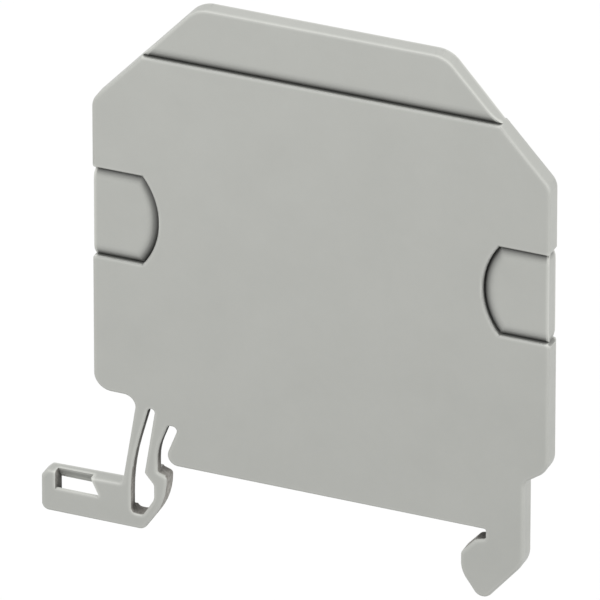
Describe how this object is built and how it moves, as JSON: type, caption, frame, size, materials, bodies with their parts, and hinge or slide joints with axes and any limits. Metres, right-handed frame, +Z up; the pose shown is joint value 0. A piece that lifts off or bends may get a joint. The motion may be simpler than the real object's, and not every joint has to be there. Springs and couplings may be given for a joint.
{
  "type": "terminal block partition plate",
  "caption": "Flat moulded partition plate for rail-mounted terminal blocks, with a fixed hook, a sprung foot with a screwdriver opening, and fields that break out along grooves.",
  "frame": {"origin": "middle of the plate's bottom edge, where it sits on the rail: over the middle of the rail and in the middle of the plate's thickness", "axes": "+X along the plate's width towards the fixed hook, +Y through its thickness towards the back face, +Z up from the rail"},
  "size_m": [0.0545, 0.002, 0.06],
  "materials": {
    "grey_polyamide": "fine matte moulded surface"
  },
  "bodies": {
    "root": {"partition_plate": "grey_polyamide"}
  },
  "joints": []
}
